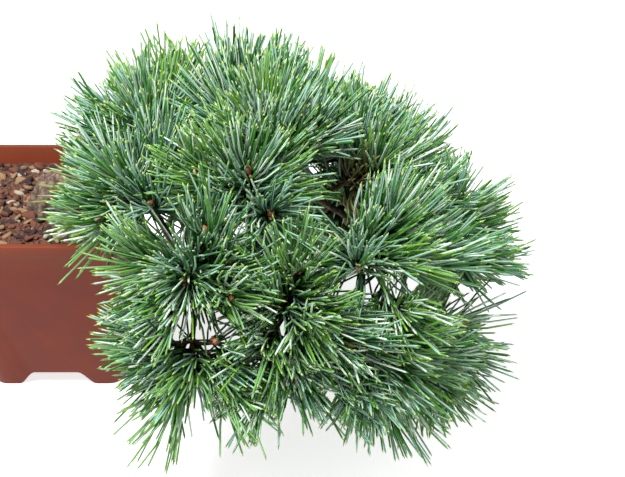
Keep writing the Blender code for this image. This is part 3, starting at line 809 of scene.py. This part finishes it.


# Needles. They grow in bundles of five, each needle three-sided: the outer face is deep green, the
# two inner faces are blue-white with wax, and the tip is yellow-green.
# Bundles stand in a spiral along the last part of each shoot, lower ones flat out, upper ones forward.
# The foot of each needle, about its lowest quarter, is darker: painted shade at the heart of the
# bundle, and partly the darker sheathed base.
NEEDLE_LENGTH = 45.5 * MM
NEEDLE_RADIUS = 0.8 * MM
NEEDLE_RINGS = ((0.0, 0.8), (0.27, 1.0), (0.63, 1.0), (0.96, 0.88))
BEND_TURNS_AT = 0.6
KEPT_SHARE = 0.09
POT_ROOM = 1.5 * MM
BUNDLES = {"outer": 25, "side": 15, "inner": 13}
BEARING = {"outer": 31 * MM, "side": 26 * MM, "inner": 22 * MM}
GOLDEN_ANGLE = math.radians(137.508)
MASSES_A_PIECE = 4
NEEDLE_COLOURS = [
    ("needle green deep", (8, 56, 10), 0.42),
    ("needle green", (28, 88, 26), 0.42),
    ("needle green bright", (58, 116, 32), 0.42),
    ("needle wax pale", (178, 198, 180), 0.55),
    ("needle wax blue", (127, 164, 142), 0.55),
    ("needle wax green", (110, 150, 98), 0.5),
    ("needle tip yellow", (150, 168, 96), 0.5),
    ("needle tip green", (100, 140, 70), 0.5),
    ("old needle olive", (82, 92, 46), 0.6),
    ("old needle tan", (118, 116, 72), 0.6),
    ("needle end deep", (34, 86, 28), 0.42),
    ("needle end", (56, 112, 40), 0.42),
    ("needle end bright", (94, 140, 48), 0.42),
    # The two foot colours are painted shade, with a little of the darker sheathed base: dark greens for
    # the lowest part of each needle.
    ("needle foot green, painted shade", (8, 42, 8), 0.5),
    ("needle foot wax, painted shade", (40, 86, 48), 0.5),
]
# The places of these colours in that list
OUTER_SHADES = (0, 1, 2)
WAX_SHADES = (3, 4, 5)
TIP_SHADES = (6, 7)
OLD_OLIVE = 8
OLD_TAN = 9
END_SHADES = (10, 11, 12)
# The foot shades are painted shade at the heart of each bundle
FOOT_GREEN_PAINTED_SHADE = 13
FOOT_WAX_PAINTED_SHADE = 14
WAX_OF_TONE = (1, 1, 2)

# One patch of bundles has faded, in front of FADED_BACK and on a line of sight as the openings are
FADED = [(27, 37, 16)]
FADED_BACK = -30 * MM
draw = np.random.default_rng(11)


def aside_of(way, angle):
    """A unit way square to another one, turned about it."""
    side = way.orthogonal().normalized()
    return side * math.cos(angle) + way.cross(side) * math.sin(angle)


def bundles_of(shoot):
    """Each bundle's root, way, length, shades of green and wax, whether it is old, and its axis."""
    count = BUNDLES[shoot.kind]
    bearing = min(BEARING[shoot.kind], 0.85 * shoot.span)
    turn = draw.uniform(0, 2 * math.pi)
    tone = draw.integers(0, 3)
    old = shoot.kind == "inner" and draw.random() < 0.2
    rows = []
    for i in range(count):
        along = (i + draw.uniform(0, 0.8)) / count
        share = 1 - bearing * (1 - along) / shoot.span
        root = bezier(shoot.curve, share)
        axis_way = bezier_way(shoot.curve, share)
        lean = math.radians(80 - 58 * along**0.75 + draw.uniform(-8, 8))
        aside = aside_of(axis_way, turn + GOLDEN_ANGLE * i)
        way = axis_way * math.cos(lean) + aside * math.sin(lean)
        way = (way + Vector((0, 0, 0.1))).normalized()
        length = NEEDLE_LENGTH * draw.uniform(0.86, 1.06) * (1 - 0.14 * along)
        green = int(tone if draw.random() < 0.75 else draw.integers(0, 3))
        wax = int(WAX_OF_TONE[tone] if draw.random() < 0.5 else draw.choice(3, p=(0.5, 0.25, 0.25)))
        rows.append((*root, *way, length, green, wax, old and draw.random() < 0.7, *axis_way))
    return rows


def clear_of_pot(points):
    """Whether points lie above the ground and either outside the pot or over it."""
    height = points[..., 2]
    beside = np.max(np.abs(points[..., :2]), axis=-1) > pot_width(height) / 2 + LIP_OUT + POT_ROOM
    return (height > POT_ROOM) & (beside | (height > POT_HEIGHT + POT_ROOM))


def needle_arrays(bundles):
    """Points, faces and shades of five curved three-sided needles for each bundle."""
    roots, ways, lengths = bundles[:, None, 0:3], bundles[:, 3:6], bundles[:, 6]
    tone, wax_tone, axes = bundles[:, 7].astype(int), bundles[:, 8].astype(int), bundles[:, None, 10:13]
    count = len(bundles)

    # The five needles of a bundle lean apart, and bend a little on their own and with the shoot
    flat = square_to(ways)
    deep = np.cross(ways, flat)
    angles = draw.uniform(0, 2 * np.pi, (count, 1)) + np.arange(5) * 2 * np.pi / 5
    angles += draw.uniform(-0.3, 0.3, (count, 5))
    aside = flat[:, None] * np.cos(angles)[..., None] + deep[:, None] * np.sin(angles)[..., None]
    spread = np.tan(np.radians(draw.uniform(3, 14, (count, 5))))[..., None]
    first = unit(ways[:, None] + aside * spread)
    bend = aside * draw.uniform(-0.15, 0.15, (count, 5, 1)) + draw.normal(0, 0.13, (count, 5, 3))
    bend += draw.normal(0, 0.1, (count, 1, 3))
    bend += axes * draw.uniform(0.2, 0.7, (count, 1, 1))
    bend[..., 2] += 0.1
    long = lengths[:, None, None] * draw.uniform(0.9, 1.05, (count, 5, 1))

    def at(share):
        return roots + long * (first * share + bend * share * (share - BEND_TURNS_AT))

    # Needles that cross the pot or a gap in the crown are left out, but for a few in the gaps
    seen = np.ones((count, 5), bool)
    kept = draw.random((count, 5)) < KEPT_SHARE
    tips = draw.integers(0, 2, (count, 5))
    for share in np.linspace(0.12, 1, 9):
        spots = at(share)
        seen &= (kept | ~on_sight(spots, OPENINGS)) & clear_of_pot(spots)
    seen = seen.ravel()

    # Four rings of three corners and a tip, the outer face first
    rings = []
    for share, radius in NEEDLE_RINGS:
        centre = at(share)
        along = unit(first + bend * (2 * share - BEND_TURNS_AT))
        outer = unit(aside - along * np.sum(aside * along, axis=2, keepdims=True))
        across = np.cross(along, outer)
        for turn in (-math.pi / 3, math.pi / 3, math.pi):
            edge_way = outer * math.cos(turn) + across * math.sin(turn)
            rings.append(centre + radius * NEEDLE_RADIUS * edge_way)
    rings.append(at(1))
    points = np.stack(rings, axis=2).reshape(-1, 13, 3)[seen]

    # Every needle has the same faces, and each face is one of six kinds
    green, wax, tip, end, painted_shade_foot_green, painted_shade_foot_wax = range(6)
    faces = [(0, 2, 1)]
    kinds = [wax]
    # The lowest ring of faces takes the foot kinds, which are painted shade at the heart of the bundle
    for low, outer_kind, inner_kind in ((0, painted_shade_foot_green, painted_shade_foot_wax), (3, green, wax), (6, end, wax)):
        for i in range(3):
            j = (i + 1) % 3
            faces += [(low + i, low + j, low + 3 + j), (low + i, low + 3 + j, low + 3 + i)]
            kinds += [inner_kind if i else outer_kind] * 2
    faces += [(9, 10, 12), (10, 11, 12), (11, 9, 12)]
    kinds += [tip] * 3
    triangles = np.array(faces)[None] + np.arange(len(points))[:, None, None] * 13

    # The shade of each kind of face, needle by needle
    whose = np.repeat(np.arange(count), 5)[seen]
    middles = bundles[:, 0:3] + ways * lengths[:, None] * 0.6
    faded = on_sight(middles, FADED) & (bundles[:, 1] < FADED_BACK)
    old = ((bundles[:, 9] > 0.5) | faded)[whose]
    options = (
        np.where(old, OLD_OLIVE, np.array(OUTER_SHADES)[tone[whose]]),
        np.where(old, OLD_TAN, np.array(WAX_SHADES)[wax_tone[whose]]),
        np.where(old, OLD_TAN, np.array(TIP_SHADES)[tips.ravel()[seen]]),
        np.where(old, OLD_TAN, np.array(END_SHADES)[tone[whose]]),
        # Feet of young needles: painted shade
        np.where(old, OLD_OLIVE, FOOT_GREEN_PAINTED_SHADE),
        np.where(old, OLD_OLIVE, FOOT_WAX_PAINTED_SHADE),
    )
    shades = np.choose(np.array(kinds)[None], [option[:, None] for option in options])
    return points.reshape(-1, 3), triangles.reshape(-1, 3), shades.ravel()


needle_finishes = []
for name, colour, roughness in NEEDLE_COLOURS:
    tint, shader, nodes, links = finish_of(name, roughness)
    shader.inputs["Base Color"].default_value = srgb(*colour)
    shader.inputs["Specular IOR Level"].default_value = 0.2
    needle_finishes.append(tint)
names = list(masses)
groups = [names[i:i + MASSES_A_PIECE] for i in range(0, len(names), MASSES_A_PIECE)]
for number, group in enumerate(groups):
    members = [masses[name] for name in group]
    rows = []
    for shoot in shoots:
        if shoot.mass in members:
            rows += bundles_of(shoot)
    made = mesh_of("needles", *needle_arrays(np.array(rows, float)))
    spray = bpy.data.objects.new("needles_" + str(number + 1), made)
    bpy.context.scene.collection.objects.link(spray)
    for tint in needle_finishes:
        made.materials.append(tint)
    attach(spray, "root")
    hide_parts(*["needles_" + name for name in group])


# Buds. Each outer and side shoot ends in a pointed resinous bud in overlapping brown scales, with a
# few smaller ones round its foot. One bud is shaped, and the rest are turned and scaled copies.
BUD_WIDTH = 2.3 * MM
BUD_LENGTH = 3.0 * MM
SMALL_BUD_WIDTH = 1.2 * MM
SMALL_BUD_LENGTH = 1.7 * MM
bpy.ops.object.select_all(action="DESELECT")
bpy.ops.mesh.primitive_uv_sphere_add(segments=6, ring_count=6, radius=1)
bud = new_piece("bud")
for corner in bud.data.vertices:
    level = (corner.co.z + 1) / 2
    ring = round(math.degrees(math.asin(max(-1, min(1, corner.co.z)))) / 30)
    scale_out = 1.12 if ring % 2 else 0.9
    width = math.sin(math.pi * level**0.75) ** 0.8 if 0 < level < 1 else 0
    flat_way = corner.co.xy.normalized() if corner.co.xy.length > 0.001 else Vector((0, 0))
    corner.co.xy = flat_way * width * scale_out
    corner.co.z = level * 2.6
bpy.ops.object.shade_flat()
places, ways, sizes = [], [], []
for shoot in shoots:
    if shoot.kind == "inner":
        continue
    places.append(shoot.curve[3])
    ways.append(shoot.way)
    sizes.append((BUD_WIDTH, BUD_WIDTH, BUD_LENGTH * draw.uniform(0.85, 1.15)))
    for k in range(int(draw.integers(2, 5))):
        aside = aside_of(shoot.way, draw.uniform(0, 2 * math.pi))
        places.append(shoot.curve[3] + aside * 1.3 * MM - shoot.way * 0.5 * MM)
        ways.append(shoot.way + aside * 0.75)
        sizes.append((SMALL_BUD_WIDTH, SMALL_BUD_WIDTH, SMALL_BUD_LENGTH * draw.uniform(0.8, 1.2)))
count = len(places)
frames = turn_frames(np.array(ways), draw.uniform(0, 6.28, count), np.array(sizes), np.array(places))
buds = joined_copies("buds", bud, frames, draw.choice(3, count, p=(0.45, 0.35, 0.2)))
for name, colour in (
    ("bud brown", (166, 116, 82)),
    ("bud dark", (120, 80, 58)),
    ("bud resin", (194, 162, 130)),
):
    tint, shader, nodes, links = finish_of(name, 0.5)
    shader.inputs["Base Color"].default_value = srgb(*colour)
    buds.data.materials.append(tint)
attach(buds, "root")


# The studio. A plain white floor that glows a little, a dim even surround, a strong soft light from
# above and in front, and a weak one from the right. The camera stands where the photograph's stood.
FOCAL_PIXELS = 1143
PICTURE_WIDTH = 625
SENSOR_WIDTH = 36
LIT_POINT = Vector((0.16, -0.06, 0.15))
bpy.ops.object.select_all(action="DESELECT")
bpy.ops.mesh.primitive_plane_add(size=40, location=(0, 0, -0.2 * MM))
studio_floor = bpy.context.object
studio_floor.name = "studio_floor"
paper, shader, nodes, links = finish_of("white paper", 0.9)
shader.inputs["Base Color"].default_value = (0.6, 0.6, 0.6, 1)
shader.inputs["Emission Color"].default_value = (1, 1, 1, 1)
shader.inputs["Emission Strength"].default_value = 0.78
studio_floor.data.materials.append(paper)

world = bpy.data.worlds.new("studio")
bpy.context.scene.world = world
world.use_nodes = True
world.node_tree.nodes["Background"].inputs["Color"].default_value = (1, 1, 1, 1)
world.node_tree.nodes["Background"].inputs["Strength"].default_value = 0.2
for name, spot, size, power in (
    ("key light", (-0.25, -0.5, 1.6), 0.6, 63),
    ("fill light", (1.1, -0.6, 1.1), 1.0, 8),
):
    lamp = bpy.data.lights.new(name, "AREA")
    lamp.size = size
    lamp.energy = power
    holder = bpy.data.objects.new(name, lamp)
    bpy.context.scene.collection.objects.link(holder)
    holder.location = spot
    holder.rotation_euler = (LIT_POINT - Vector(spot)).to_track_quat("-Z", "Y").to_euler()

lens = bpy.data.cameras.new("camera")
lens.sensor_width = SENSOR_WIDTH
lens.lens = FOCAL_PIXELS / PICTURE_WIDTH * SENSOR_WIDTH
camera = bpy.data.objects.new("camera", lens)
bpy.context.scene.collection.objects.link(camera)
camera.location = EYE * MM
camera.rotation_euler = (math.pi / 2 - VIEW_TILT, 0, 0)
bpy.context.scene.camera = camera
bpy.context.scene.view_settings.view_transform = "Standard"
